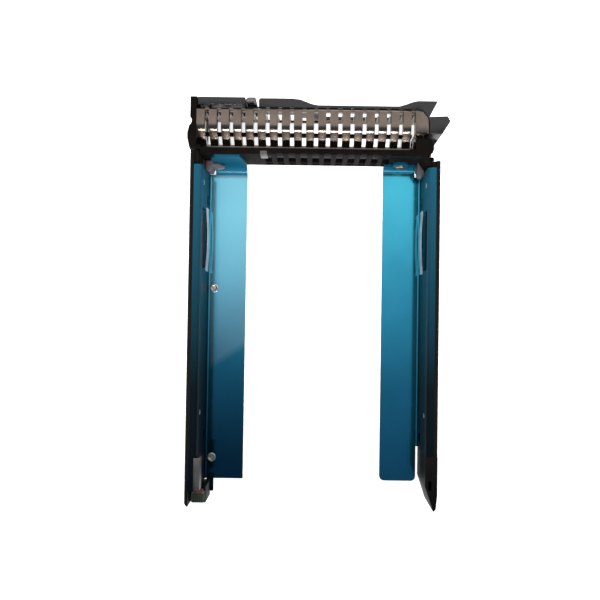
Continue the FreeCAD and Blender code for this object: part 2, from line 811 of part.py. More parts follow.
def make_contact_clip():
    """Light bar clipped over the top of the wall beside the contact tray."""
    low = plate_height
    outline = [
        (inner_face - 0.9, low - 3.0), (inner_face, low - 3.0), (inner_face, low),
        (inner_face + 1.0, low), (inner_face + 1.0, low + 0.4), (inner_face - 0.9, low + 0.4),
    ]
    return section_y(outline, strip_rear - 10.2, strip_rear - 0.2)


def make_bezel_clip():
    """Steel clip hooked over the bezel's rear wall."""
    x = lever_free_end - 2.9
    top = bezel_height - 0.4
    outline = [
        (wall_rear, top - 4.4), (wall_rear + 0.3, top - 4.4), (wall_rear + 0.3, top + 0.3),
        (wall_rear - 1.0, top + 0.3), (wall_rear - 1.0, top), (wall_rear, top),
    ]
    return section_x(outline, x, x + 2.2)


def make_button_corner_tab():
    """Moulded gusset between the bezel wall and the plate's wall."""
    x0, x1 = inner_face - tab_corner_gap + 0.1, outer_face
    y0, y1 = wall_rear, wall_front - 0.05
    outline = [(x0, y0), (x1, y0), (x1, y1), (x0 + 0.6, y1), (x0, y1 - 1.4)]
    block = prism(outline, bezel_foot, corner_tab_height)
    y = tab_face + sheet + 0.1
    tongue = prism([
        (x0, y), (x0, y1 - 1.4), (x0 - 1.4, y1 - 0.2), (x0 - 3.6, y1 - 0.9), (x0 - 3.8, y1 - 1.6), (x0 - 1.6, y),
    ], corner_tab_height - 1.0, corner_tab_height)
    return block.fuse(tongue).removeSplitter()


def make_hinge_corner_tab():
    """Moulded gusset that fills behind the bezel's diagonal wall."""
    x0 = -inner_face + tab_corner_gap - 0.1
    y1 = wall_front - 0.05
    outline = [
        (pivot_x + 0.05, wall_rear), (x0, wall_rear), (x0, y1 - 1.4), (x0 - 1.0, y1), (-outer_face + 0.1, y1),
    ]
    block = prism(outline, bezel_foot, corner_tab_height)
    x1 = -inner_face + 0.1
    nose = prism([
        (x0, y1 - 1.4), (x0, y1 + 0.4), (x0 - 0.4, y1 + 1.0), (x0 - 1.1, y1 + 1.3), (x1, y1 + 0.9), (x1, y1 - 1.2),
    ], corner_tab_height - 3.0, corner_tab_height)
    return block.fuse(nose).removeSplitter()


def parts():
    """Every node of the caddy by name."""
    nodes = {
        "button_side_plate": make_button_side_plate(),
        "hinge_side_plate": make_hinge_side_plate(),
        "button_side_rail": make_button_side_rail(),
        "hinge_side_rail": make_hinge_side_rail(),
        "bezel_frame": make_bezel_frame(),
        "fin_grille": make_fin_grille(),
        "ejector_lever": make_ejector_lever(),
        "activity_lens": make_activity_lens(),
        "lever_pin": make_lever_pin(),
        "lever_spring": make_lever_spring(),
        "release_button": make_release_button(),
        "button_spring": make_button_spring(),
        "status_lens": make_status_lens(),
        "button_side_leaf": make_leaf(1),
        "hinge_side_leaf": make_leaf(-1),
        "floor_rivets": make_floor_rivets(),
        "button_rail_rivets": make_rail_rivets(1),
        "hinge_rail_rivets": make_rail_rivets(-1),
        "front_screw": make_front_screw(),
        "contact_board": make_contact_board(),
        "contact_pads": make_contact_pads(),
        "flex_circuit": make_flex_circuit(),
        "led_board": make_led_board(),
        "contact_clip": make_contact_clip(),
        "bezel_clip": make_bezel_clip(),
        "button_corner_tab": make_button_corner_tab(),
        "hinge_corner_tab": make_hinge_corner_tab(),
    }
    return nodes


def main():
    os.makedirs("parts", exist_ok=True)
    for name, shape in parts().items():
        print(name, len(shape.Solids), shape.isValid(), round(shape.Volume, 1))
        shape.exportStep("parts/" + name + ".step")


main()
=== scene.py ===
# %% [markdown]
# # Hot swap drive caddy
# A caddy is the tray that slides a small drive into a server.  This lesson dresses a
# finished mechanical model: its folded steel sides, moulded rails, ribbed grille, ejector
# lever and release button already stand at their real size, and here they get rounded
# edges, wire springs, circuit parts, finishes, a floor, a lamp and a camera.

# %% Load the fixed frame
import bmesh
import bpy
import math
from mathutils import Matrix, Vector


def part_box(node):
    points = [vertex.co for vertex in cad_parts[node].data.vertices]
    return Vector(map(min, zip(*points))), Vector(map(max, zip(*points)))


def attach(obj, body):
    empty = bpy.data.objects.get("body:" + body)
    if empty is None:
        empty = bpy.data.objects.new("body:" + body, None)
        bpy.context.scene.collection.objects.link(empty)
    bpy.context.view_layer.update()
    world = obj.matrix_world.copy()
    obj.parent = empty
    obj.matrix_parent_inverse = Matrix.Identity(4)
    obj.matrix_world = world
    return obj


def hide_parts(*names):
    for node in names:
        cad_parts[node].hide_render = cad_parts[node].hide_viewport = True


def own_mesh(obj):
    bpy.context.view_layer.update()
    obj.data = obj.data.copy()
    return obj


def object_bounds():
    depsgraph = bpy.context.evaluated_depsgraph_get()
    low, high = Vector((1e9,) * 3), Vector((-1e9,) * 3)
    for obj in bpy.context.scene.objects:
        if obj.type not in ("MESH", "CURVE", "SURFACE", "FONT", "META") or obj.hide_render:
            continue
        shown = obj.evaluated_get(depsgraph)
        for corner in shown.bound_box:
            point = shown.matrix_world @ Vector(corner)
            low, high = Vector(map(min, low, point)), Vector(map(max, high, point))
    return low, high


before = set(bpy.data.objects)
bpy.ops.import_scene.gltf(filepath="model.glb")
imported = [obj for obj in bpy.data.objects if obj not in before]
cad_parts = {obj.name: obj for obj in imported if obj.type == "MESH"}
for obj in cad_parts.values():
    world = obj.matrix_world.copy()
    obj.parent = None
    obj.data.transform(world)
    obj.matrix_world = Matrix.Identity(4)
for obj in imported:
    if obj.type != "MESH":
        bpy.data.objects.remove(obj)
cad_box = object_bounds()
MM = 0.001

# %% [markdown]
# Every operator in Blender works on what is selected, so each step starts from a clean
# slate.  Small functions drop the selection, return a CAD node's object, make one piece
# the active one, and measure a node in millimetres.

# %% Selection and measuring helpers
def nothing_selected():
    """Leave edit mode and drop the selection."""
    if bpy.context.object and bpy.context.object.mode != "OBJECT":
        bpy.ops.object.mode_set(mode="OBJECT")
    bpy.ops.object.select_all(action="DESELECT")


def cad(name):
    """The object that holds a CAD node's mesh."""
    return bpy.data.objects[name]


def only(piece):
    """Make one object the selected and active one."""
    nothing_selected()
    piece.select_set(True)
    bpy.context.view_layer.objects.active = piece


def box_mm(node):
    """Lowest and highest corner of a CAD node's box, in millimetres."""
    return [Vector(corner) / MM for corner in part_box(node)]


nothing_selected()
print("lever box", [[round(v, 1) for v in corner] for corner in box_mm("ejector_lever")])

# %% [markdown]
# ## Finishes
# Colours are picked as sRGB hex values, the way a paint card gives them, while the shader
# works in linear light, so one function converts.  A second function adds a shader node,
# sets its sockets and links them: every material below is built with those two only.
# Most sockets go by name.  A Mix node's names repeat, so its sockets go by number: 0 is
# the share, 2 and 3 are two plain values, and 6 and 7 are two colours.

# %% Colour and node helpers
def linear(hex_colour):
    """sRGB hex text to a linear RGBA tuple."""
    values = [int(hex_colour[i:i + 2], 16) / 255 for i in (1, 3, 5)]
    light = [v / 12.92 if v < 0.04045 else ((v + 0.055) / 1.055) ** 2.4 for v in values]
    return (*light, 1.0)


def add(tree, kind, inputs=None, **settings):
    """Add a node, set its properties and fill its inputs with values or links."""
    made = tree.nodes.new(kind)
    for name, value in settings.items():
        setattr(made, name, value)
    for name, value in (inputs or {}).items():
        if isinstance(value, bpy.types.NodeSocket):
            tree.links.new(value, made.inputs[name])
        else:
            made.inputs[name].default_value = value
    return made


def new_material(name):
    """An empty material with its output and the object's own coordinates."""
    material = bpy.data.materials.new(name)
    material.use_nodes = True
    tree = material.node_tree
    tree.nodes.clear()
    place = add(tree, "ShaderNodeTexCoord").outputs["Object"]
    output = add(tree, "ShaderNodeOutputMaterial")
    return material, tree, place, output


def per_mm(size_mm):
    """Texture scale that makes one cell of a pattern this many millimetres."""
    return 1.0 / (size_mm * MM)


print("teal in linear light", [round(v, 3) for v in linear("#1F7F9C")])

# %% [markdown]
# **Teal lacquered steel.** The sides are thin cold-rolled strip under a clear, tinted
# lacquer.  The metal below makes the colour deep and the lacquer adds a hard, mirror-like
# skin, so the base is metallic and a thin coat lies on top.  Rolling leaves fine lines
# along the strip, drawn 0.25 mm apart so that they still show.
#
# Three marks of light are painted into the finish and stay there under any light.  The
# upright walls are duller, and darker than the floor strips by painted shade, darker still
# towards the rear: the object's own normal, and the height above the sheet, tell wall from
# floor.  The button side's floor strip has painted shade towards the rear as well, and a
# painted pale reflection that stops at a slanted line.  That side gets its own version.

# %% Colours and limits of the teal finish
rolling_mm, patch_mm = 0.25, 22
floor_tints = ("#2C8298", "#358FA4")
# the two wall colours are painted shade, the strip's rear colour is painted shade, and the pale
# colour is a painted reflection
wall_front_painted_shade, wall_rear_painted_shade = "#0F4C60", "#02060A"
strip_rear_painted_shade, reflection_tint = "#0A2B3D", "#A4C4CC"
wall_foot = (0.82 * MM, 1.0 * MM)      # height at which floor turns into wall
wall_shade = (-42 * MM, 28 * MM)       # Y range in which the walls darken
strip_shade = (-8 * MM, 52 * MM)       # Y range in which the button side's strip darkens
# the haze in these limits is the painted pale reflection on the button side's strip
reflection_fade = (-44 * MM, 20 * MM)        # Y range in which the haze thins out
reflection_side = (31.5 * MM, 34.5 * MM)     # X range in which it thins towards the wall
reflection_slope = -0.65                     # slant of its rear end, Y against X
reflection_end = (-1.0 * MM, 2.0 * MM)       # where that end lies and how soft it is
print("walls start at", round(wall_foot[0] / MM, 2), "mm above the table")

# %% [markdown]
# The painted pale reflection is a dull white layer mixed over the lacquer.  Its share is a
# product of four ramps: it stops at the slanted end, thins towards the wall and along the
# strip, and is nothing on the upright wall.

# %% Painted pale reflection
def painted_reflection_over(tree, skin, spot, wall):
    """Lay the painted pale reflection over the floor strip's skin, up to its slanted end."""
    slanted = add(tree, "ShaderNodeMath", {
        0: spot["X"], 1: reflection_slope, 2: spot["Y"],
    }, operation="MULTIPLY_ADD").outputs["Value"]
    before_end = add(tree, "ShaderNodeMapRange", {
        "Value": slanted, "From Min": reflection_end[0], "From Max": reflection_end[1],
        "To Min": 1.0, "To Max": 0.0,
    }).outputs["Result"]
    off_wall = add(tree, "ShaderNodeMapRange", {
        "Value": spot["X"], "From Min": reflection_side[0], "From Max": reflection_side[1],
        "To Min": 1.0, "To Max": 0.25,
    }).outputs["Result"]
    fading = add(tree, "ShaderNodeMapRange", {
        "Value": spot["Y"], "From Min": reflection_fade[0], "From Max": reflection_fade[1],
        "To Min": 0.36, "To Max": 0.07,
    }).outputs["Result"]
    level = add(tree, "ShaderNodeMath", {0: 1.0, 1: wall}, operation="SUBTRACT").outputs["Value"]
    amount = before_end
    for share in (off_wall, fading, level):
        amount = add(tree, "ShaderNodeMath", {
            0: amount, 1: share,
        }, operation="MULTIPLY").outputs["Value"]
    # painted reflection: a dull white layer that stands in for a pale reflection in the strip
    haze = add(tree, "ShaderNodeBsdfDiffuse", {"Color": linear(reflection_tint)})
    return add(tree, "ShaderNodeMixShader", {
        0: amount, 1: skin.outputs["BSDF"], 2: haze.outputs["BSDF"],
    })


print("haze colour", [round(v, 2) for v in linear(reflection_tint)])

# %% [markdown]
# The lacquered steel itself follows.  The ramps that tell wall from floor come first, then
# the rolling lines, the tints with their painted shade, and at the end the shader with the
# painted pale reflection laid over it.

# %% Teal lacquered steel
def teal_lacquered_steel(name, painted_reflection):
    material, tree, place, output = new_material(name)
    facing = add(tree, "ShaderNodeTexCoord").outputs["Normal"]
    sideways = add(tree, "ShaderNodeSeparateXYZ", {"Vector": facing}).outputs["X"]
    upright = add(tree, "ShaderNodeMath", {0: sideways}, operation="ABSOLUTE").outputs["Value"]
    spot = add(tree, "ShaderNodeSeparateXYZ", {"Vector": place}).outputs
    raised = add(tree, "ShaderNodeMapRange", {
        "Value": spot["Z"], "From Min": wall_foot[0], "From Max": wall_foot[1],
    }).outputs["Result"]
    wall = add(tree, "ShaderNodeMath", {
        0: upright, 1: raised,
    }, operation="MAXIMUM").outputs["Value"]

    stretched = add(tree, "ShaderNodeMapping", {"Vector": place, "Scale": (1.0, 0.04, 1.0)})
    rolling = add(tree, "ShaderNodeTexNoise", {
        "Vector": stretched.outputs["Vector"], "Scale": per_mm(rolling_mm),
        "Detail": 3.0, "Roughness": 0.6,
    }).outputs["Fac"]
    patches = add(tree, "ShaderNodeTexNoise", {
        "Vector": place, "Scale": per_mm(patch_mm), "Detail": 2.0,
    }).outputs["Fac"]
    tint = add(tree, "ShaderNodeValToRGB", {"Fac": patches})
    for stop, position, colour in zip(tint.color_ramp.elements, (0.3, 0.72), floor_tints):
        stop.position, stop.color = position, linear(colour)
    lacquer = tint.outputs["Color"]
    if painted_reflection:
        # painted shade: the button side's strip darkens towards the rear, as the dim rear of the
        # room mirrored in it would
        rear_shade_share = add(tree, "ShaderNodeMapRange", {
            "Value": spot["Y"], "From Min": strip_shade[0], "From Max": strip_shade[1],
            "To Min": 0.0, "To Max": 0.78,
        }).outputs["Result"]
        lacquer = add(tree, "ShaderNodeMix", {
            0: rear_shade_share, 6: lacquer, 7: linear(strip_rear_painted_shade),
        }, data_type="RGBA").outputs[2]
    # painted shade: the upright walls darken towards the rear
    shade = add(tree, "ShaderNodeMapRange", {
        "Value": spot["Y"], "From Min": wall_shade[0], "From Max": wall_shade[1],
        "To Min": 0.0, "To Max": 0.97,
    }).outputs["Result"]
    wall_painted_shade = add(tree, "ShaderNodeMix", {
        0: shade, 6: linear(wall_front_painted_shade), 7: linear(wall_rear_painted_shade),
    }, data_type="RGBA").outputs[2]
    colour = add(tree, "ShaderNodeMix", {
        0: wall, 6: lacquer, 7: wall_painted_shade,
    }, data_type="RGBA").outputs[2]

    fine = add(tree, "ShaderNodeMapRange", {
        "Value": rolling, "To Min": 0.09, "To Max": 0.15,
    }).outputs["Result"]
    rough = add(tree, "ShaderNodeMix", {0: wall, 2: fine, 3: 0.6}).outputs[0]
    metallic = add(tree, "ShaderNodeMix", {0: wall, 2: 0.95, 3: 0.6}).outputs[0]
    bump = add(tree, "ShaderNodeBump", {
        "Height": rolling, "Strength": 0.08, "Distance": 0.01 * MM,
    })
    surface = add(tree, "ShaderNodeBsdfPrincipled", {
        "Base Color": colour, "Metallic": metallic, "Roughness": rough,
        "Specular IOR Level": 0.08, "Coat Weight": 0.1, "Coat Roughness": 0.12,
        "Normal": bump.outputs["Normal"],
    })
    if painted_reflection:
        surface = painted_reflection_over(tree, surface, spot, wall)
    tree.links.new(surface.outputs[0], output.inputs["Surface"])
    return material


finishes = {
    "steel side": teal_lacquered_steel("teal lacquered steel", False),
    "hazed side": teal_lacquered_steel("teal lacquered steel, hazed", True),
}
print("finishes", list(finishes))

# %% [markdown]
# **Black moulded plastic.** Rails, bezel, lever and button are injection-moulded ABS.  A
# spark-eroded mould leaves a fine grain, which breaks highlights into a satin sheen.  The
# grain is drawn at 0.35 mm, and a slow noise varies the roughness as handling does.  The
# gloss value turns the shine down, below real ABS on the rails and the bezel, which look
# almost as dark as soot.

# %% Black moulded plastic
def moulded_abs(name, dark, light, rough_low, rough_high, gloss=0.22, grain_mm=0.35):
    material, tree, place, output = new_material(name)
    grain = add(tree, "ShaderNodeTexNoise", {
        "Vector": place, "Scale": per_mm(grain_mm), "Detail": 4.0,
    })
    handling = add(tree, "ShaderNodeTexNoise", {
        "Vector": place, "Scale": per_mm(9), "Detail": 3.0,
    }).outputs["Fac"]
    ramp = add(tree, "ShaderNodeValToRGB", {"Fac": handling})
    for stop, position, colour in zip(ramp.color_ramp.elements, (0.3, 0.7), (dark, light)):
        stop.position, stop.color = position, linear(colour)
    rough = add(tree, "ShaderNodeMapRange", {
        "Value": handling, "From Min": 0.3, "From Max": 0.7,
        "To Min": rough_low, "To Max": rough_high,
    })
    bump = add(tree, "ShaderNodeBump", {
        "Height": grain.outputs["Fac"], "Strength": 0.35, "Distance": 0.03 * MM,
    })
    skin = add(tree, "ShaderNodeBsdfPrincipled", {
        "Base Color": ramp.outputs["Color"], "Roughness": rough.outputs["Result"], "IOR": 1.53,
        "Specular IOR Level": gloss, "Normal": bump.outputs["Normal"],
    })
    tree.links.new(skin.outputs["BSDF"], output.inputs["Surface"])
    return material


finishes.update({
    "rail": moulded_abs("black ABS, rails", "#0B0908", "#13100F", 0.42, 0.56, gloss=0.05),
    "bezel": moulded_abs("black ABS, bezel", "#0A0807", "#120F0D", 0.4, 0.55, gloss=0.012),
    "lever": moulded_abs("black ABS, lever", "#0A0807", "#120F0D", 0.24, 0.36, gloss=0.35),
    "button": moulded_abs("black ABS, button", "#0A0807", "#120F0D", 0.24, 0.36, gloss=0.35),
    "grey": moulded_abs("grey ABS", "#4A4648", "#625D60", 0.35, 0.5),
})
print("finishes", list(finishes))

# %% [markdown]
# **Metallic lacquers and bare metals.** The grille is ABS sprayed with a taupe metallic
# lacquer: part metal flake, part pigment.  Rivets and the screw are zinc plated, the
# leaves and wires are spring steel under satin nickel, and the two clips are dull tin
# plate.  One function makes them all, because they differ only in colour, gloss and the
# size of their texture.

# %% Metals
def metal(
    name, dark, light, rough_low, rough_high, metallic=1.0, texture_mm=0.3, stretch=(1, 1, 1),
):
    material, tree, place, output = new_material(name)
    drawn = add(tree, "ShaderNodeMapping", {"Vector": place, "Scale": stretch})
    grain = add(tree, "ShaderNodeTexNoise", {
        "Vector": drawn.outputs["Vector"], "Scale": per_mm(texture_mm), "Detail": 3.0,
    }).outputs["Fac"]
    stain = add(tree, "ShaderNodeTexNoise", {
        "Vector": place, "Scale": per_mm(5), "Detail": 3.0,
    }).outputs["Fac"]
    ramp = add(tree, "ShaderNodeValToRGB", {"Fac": stain})
    for stop, position, colour in zip(ramp.color_ramp.elements, (0.32, 0.68), (dark, light)):
        stop.position, stop.color = position, linear(colour)
    rough = add(tree, "ShaderNodeMapRange", {
        "Value": grain, "From Min": 0.3, "From Max": 0.7,
        "To Min": rough_low, "To Max": rough_high,
    })
    bump = add(tree, "ShaderNodeBump", {
        "Height": grain, "Strength": 0.3, "Distance": 0.01 * MM,
    })
    skin = add(tree, "ShaderNodeBsdfPrincipled", {
        "Base Color": ramp.outputs["Color"], "Metallic": metallic,
        "Roughness": rough.outputs["Result"], "Normal": bump.outputs["Normal"],
    })
    tree.links.new(skin.outputs["BSDF"], output.inputs["Surface"])
    return material


finishes.update({
    "grille": metal(
        "taupe metallic lacquer", "#554B44", "#645950", 0.13, 0.2, metallic=0.9, texture_mm=0.2,
    ),
    "zinc": metal("zinc plated steel", "#928D8B", "#B4AFAD", 0.28, 0.42),
    "spring": metal(
        "nickel plated spring steel", "#CFC6CC", "#EFE8ED", 0.36, 0.5, stretch=(1, 0.05, 1),
    ),
    "tin": metal("dull tin plate", "#4C4A48", "#676460", 0.45, 0.6),
    "gold": metal("gold plate", "#4A391B", "#624B24", 0.5, 0.65, texture_mm=0.15),
})
print("finishes", list(finishes))

# %% [markdown]
# **Solder mask.** A circuit board's green skin is a glossy resin over copper, so faint
# tracks show through it.  A brick texture draws them: its mortar lines are the tracks.

# %% Solder mask
def solder_mask():
    material, tree, place, output = new_material("green solder mask")
    tracks = add(tree, "ShaderNodeTexBrick", {
        "Vector": place, "Scale": per_mm(1.0), "Color1": linear("#16463A"),
        "Color2": linear("#1D5546"), "Mortar": linear("#5E6248"), "Mortar Size": 0.06,
        "Brick Width": 1.7, "Row Height": 0.45,
    })
    bump = add(tree, "ShaderNodeBump", {
        "Height": tracks.outputs["Fac"], "Strength": 0.2, "Distance": 0.02 * MM,
    })
    skin = add(tree, "ShaderNodeBsdfPrincipled", {
        "Base Color": tracks.outputs["Color"], "Roughness": 0.25, "IOR": 1.55,
        "Normal": bump.outputs["Normal"],
    })
    tree.links.new(skin.outputs["BSDF"], output.inputs["Surface"])
    return material


finishes["mask"] = solder_mask()
print("finishes", len(finishes))

# %% [markdown]
# **Amber film.** The flexible circuit is polyimide film with dark lines along its length,
# 0.6 mm apart.  The bands of a wave texture, stacked up the film's height, draw them, and
# a colour ramp sets how wide they are.

# %% Amber film
copper_line_mm = 0.6


def amber_polyimide():
    material, tree, place, output = new_material("amber polyimide film")
    lines = add(tree, "ShaderNodeTexWave", {
        "Vector": place, "Scale": per_mm(copper_line_mm) / (2 * math.pi), "Distortion": 0.0,
    }, wave_type="BANDS", bands_direction="Z")
    ramp = add(tree, "ShaderNodeValToRGB", {"Fac": lines.outputs["Fac"]})
    film_tints = ("#3A1A0A", "#6C3615")
    for stop, position, colour in zip(ramp.color_ramp.elements, (0.35, 0.6), film_tints):
        stop.position, stop.color = position, linear(colour)
    skin = add(tree, "ShaderNodeBsdfPrincipled", {
        "Base Color": ramp.outputs["Color"], "Roughness": 0.3, "IOR": 1.7,
    })
    tree.links.new(skin.outputs["BSDF"], output.inputs["Surface"])
    return material


finishes["film"] = amber_polyimide()
print("film lines every", copper_line_mm, "mm")

# %% [markdown]
# **Smoked lenses.** The lenses are smoked polycarbonate: a dark body that lets a third of
# the light through, with a slow noise in the roughness so that the polish isn't perfect.

# %% Smoked lenses
def smoked_polycarbonate():
    material, tree, place, output = new_material("smoked polycarbonate")
    haze = add(tree, "ShaderNodeTexNoise", {"Vector": place, "Scale": per_mm(2), "Detail": 2.0})
    rough = add(tree, "ShaderNodeMapRange", {
        "Value": haze.outputs["Fac"], "To Min": 0.12, "To Max": 0.3,
    })
    skin = add(tree, "ShaderNodeBsdfPrincipled", {
        "Base Color": linear("#55524F"), "Roughness": rough.outputs["Result"], "IOR": 1.585,
        "Transmission Weight": 0.35,
    })
    tree.links.new(skin.outputs["BSDF"], output.inputs["Surface"])
    return material


finishes["lens"] = smoked_polycarbonate()
print("finishes", len(finishes))

# %% [markdown]
# Each CAD node takes its finish in its material slots.  The table below reads like a
# parts list: which finish goes on which pieces.

# %% Finish every node
node_finish = {
    "steel side": ["hinge_side_plate"],
    "hazed side": ["button_side_plate"],
    "rail": ["button_side_rail", "hinge_side_rail"],
    "bezel": ["bezel_frame"],
    "lever": ["ejector_lever"],
    "button": ["release_button"],
    "grey": ["button_corner_tab", "hinge_corner_tab"],
    "grille": ["fin_grille"],
    "zinc": [
        "floor_rivets", "button_rail_rivets", "hinge_rail_rivets", "front_screw", "lever_pin",
    ],
    "spring": ["button_side_leaf", "hinge_side_leaf", "lever_spring", "button_spring"],
    "tin": ["contact_clip", "bezel_clip"],
    "gold": ["contact_pads"],
    "mask": ["contact_board", "led_board"],
    "film": ["flex_circuit"],
    "lens": ["status_lens", "activity_lens"],
}


def dress(piece, material):
    """Give a piece one material."""
    piece.data.materials.clear()
    piece.data.materials.append(material)


for finish, names in node_finish.items():
    for name in names:
        dress(cad(name), finishes[finish])
print("finished nodes", sum(len(names) for names in node_finish.values()))

# %% [markdown]
# The mechanical record calls its finishes slots.


# %% [markdown]
# ## Rounded mouldings
# No moulded edge is truly sharp.  A copy of each moulding has its loose triangles merged
# and its flat faces joined, and then a bevel a few tenths of a millimetre wide rounds its
# edges, so that each one catches a thin line of light.  The copy stands for the CAD node.

# %% Rounding helpers
merge_mm = 0.002               # points closer than this become one
flat_deg = 1.0                 # faces that turn by less than this are joined


def round_edges(piece, width_mm, segments, limit_deg, smooth_deg):
    """Bevel the edges that turn by more than a limit, and smooth the shading."""
    rounding = piece.modifiers.new("rounding", "BEVEL")
    rounding.width = width_mm * MM
    rounding.segments = segments
    rounding.limit_method = "ANGLE"
    rounding.angle_limit = math.radians(limit_deg)
    bpy.ops.object.modifier_apply(modifier="rounding")
    bpy.ops.object.shade_smooth_by_angle(angle=math.radians(smooth_deg))


def rounded_copy(node, name, width_mm, finish, body, segments=2):
    """A copy of a CAD node with clean faces and rounded edges."""
    piece = bpy.data.objects.new(name, cad(node).data.copy())
    bpy.context.collection.objects.link(piece)
    only(piece)
    bpy.ops.object.mode_set(mode="EDIT")
    bpy.ops.mesh.select_all(action="SELECT")
    bpy.ops.mesh.remove_doubles(threshold=merge_mm * MM)
    bpy.ops.mesh.dissolve_limited(angle_limit=math.radians(flat_deg))
    bpy.ops.object.mode_set(mode="OBJECT")
    round_edges(piece, width_mm, segments, limit_deg=32, smooth_deg=35)
    dress(piece, finishes[finish])
    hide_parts(node)
    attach(piece, body)
    print(name, "triangles about", sum(len(p.vertices) - 2 for p in piece.data.polygons))


print("points within", merge_mm, "mm are merged")

# %% [markdown]
# The width goes by how thick a piece is: the lever gets the widest rounding, and the ribs
# and the bezel, whose walls are thin, get the narrowest.

# %% Round the edges of the mouldings
lever_round, button_round, rail_round, thin_round = 0.25, 0.2, 0.18, 0.12
for node, name, width_mm, finish, body in (
    ("ejector_lever", "lever_moulding", lever_round, "lever", "lever"),
    ("fin_grille", "grille_moulding", thin_round, "grille", "caddy"),
    ("release_button", "button_moulding", button_round, "button", "button"),
    ("button_side_rail", "button_rail_moulding", rail_round, "rail", "caddy"),
    ("hinge_side_rail", "hinge_rail_moulding", rail_round, "rail", "caddy"),
    ("bezel_frame", "bezel_moulding", thin_round, "bezel", "caddy"),
):
    rounded_copy(node, name, width_mm, finish, body)
print("rounding of the lever", lever_round, "mm")

# %% [markdown]
# The small parts deserve the same care.  The two grey corner tabs get softer edges than the
# mouldings, because they are thick stubs.  The tinted lenses and the clips are small, so
# their rounding is about a tenth of a millimetre: just enough to draw a bright rim.

# %% Round the edges of the small parts
stub_round, clip_round, lens_round = 0.3, 0.1, 0.12
rounded_copy("button_corner_tab", "button_corner_cap", stub_round, "grey", "caddy", segments=3)
rounded_copy("hinge_corner_tab", "hinge_corner_cap", stub_round, "grey", "caddy", segments=3)
rounded_copy("contact_clip", "contact_clip_folded", clip_round, "tin", "caddy")
rounded_copy("bezel_clip", "bezel_clip_folded", clip_round, "tin", "caddy")
rounded_copy("status_lens", "status_window", lens_round, "lens", "caddy")
rounded_copy("activity_lens", "activity_window", lens_round, "lens", "lever")

# %% [markdown]
# ## Pieces modelled here
# Small fittings are modelled by hand from primitives.  Three helpers keep that tidy: one
# starts a primitive as a piece with its place in its mesh, one selects faces by which way
# they point, and one merges doubles, turns the normals outwards, rounds the edges and puts
# the piece on its body.

# %% Modelling helpers
def start_piece(name):
    """Name the new primitive and put its place, turn and size into its mesh."""
    piece = bpy.context.object
    piece.name = piece.data.name = name
    bpy.ops.object.transform_apply(location=True, rotation=True, scale=True)
    bpy.ops.object.mode_set(mode="EDIT")
    bpy.ops.mesh.select_mode(type="FACE")
    return piece


def pick_faces(piece, wanted):
    """Select the faces whose normal passes a test."""
    bpy.ops.mesh.select_all(action="DESELECT")
    mesh = bmesh.from_edit_mesh(piece.data)
    for face in mesh.faces:
        if wanted(face.normal):
            face.select_set(True)
    bmesh.update_edit_mesh(piece.data)


def end_piece(piece, material, body, round_mm, segments=2):
    """Clean the mesh, round its edges, dress it and let it ride on a body."""
    bpy.ops.mesh.select_all(action="SELECT")
    bpy.ops.mesh.remove_doubles(threshold=merge_mm * MM)
    bpy.ops.mesh.normals_make_consistent(inside=False)
    bpy.ops.object.mode_set(mode="OBJECT")
    round_edges(piece, round_mm, segments, limit_deg=30, smooth_deg=40)
    dress(piece, material)
    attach(piece, body)
    print(piece.name, "faces", len(piece.data.polygons))


nothing_selected()

# %% [markdown]
# **Floor rivets.** Two zinc plated rivets stand on the button side's floor strip, and
# each head has a round dimple in it.  A cylinder is added at the head's size, its top is
# inset and sunk for the dimple, and its underside is inset and drawn down for the shank.
# The first one is modelled and the second is copied.

# %% Floor rivets
sheet_top = 0.8                # height of the strip's upper side
shank_radius = 0.8
head_sides = 48
head_steps = ((0.55, 0.05), (0.2, -0.3), (0.35, 0.06))      # inset, then rise
rivet_low, rivet_high = box_mm("floor_rivets")
rivet_radius = (rivet_high.x - rivet_low.x) / 2
rivet_x = (rivet_low.x + rivet_high.x) / 2
rivet_y = (rivet_low.y + rivet_radius, rivet_high.y - rivet_radius)
nothing_selected()
bpy.ops.mesh.primitive_cylinder_add(
    vertices=head_sides, radius=rivet_radius * MM, depth=(rivet_high.z - sheet_top) * MM,
    location=(rivet_x * MM, rivet_y[0] * MM, (rivet_high.z + sheet_top) / 2 * MM),
)
front_rivet = start_piece("floor_rivet_front")
pick_faces(front_rivet, lambda normal: normal.z > 0.9)
for inset, rise in head_steps:
    bpy.ops.mesh.inset(thickness=inset * MM)
    bpy.ops.transform.translate(value=(0, 0, rise * MM))
pick_faces(front_rivet, lambda normal: normal.z < -0.9)
bpy.ops.mesh.inset(thickness=(rivet_radius - shank_radius) * MM)
bpy.ops.mesh.extrude_region_move(
    TRANSFORM_OT_translate={"value": (0, 0, -(sheet_top - rivet_low.z) * MM)},
)
end_piece(front_rivet, finishes["zinc"], "caddy", round_mm=0.09)
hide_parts("floor_rivets")

rear_rivet = bpy.data.objects.new("floor_rivet_rear", front_rivet.data.copy())
bpy.context.collection.objects.link(rear_rivet)
rear_rivet.data.transform(Matrix.Translation((0, (rivet_y[1] - rivet_y[0]) * MM, 0)))
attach(rear_rivet, "caddy")
print("rivets at y", [round(y, 2) for y in rivet_y])

# %% [markdown]
# **Ceramic capacitors.** A surface-mount capacitor is a tan ceramic brick whose two ends
# are dipped in tin.  A cube is stretched to size and bisected near both ends, and the end
# faces take the second material slot, so the metal ends stand on the same closed mesh.

# %% Ceramic capacitors
ceramic = moulded_abs(
    "sintered ceramic", "#7A5B3C", "#96714C", 0.4, 0.55, gloss=0.5, grain_mm=0.12,
)
tin_cut = 0.27                 # share of the length from the middle to the tin
tin_face = 0.275               # a face whose centre lies past this share is tin


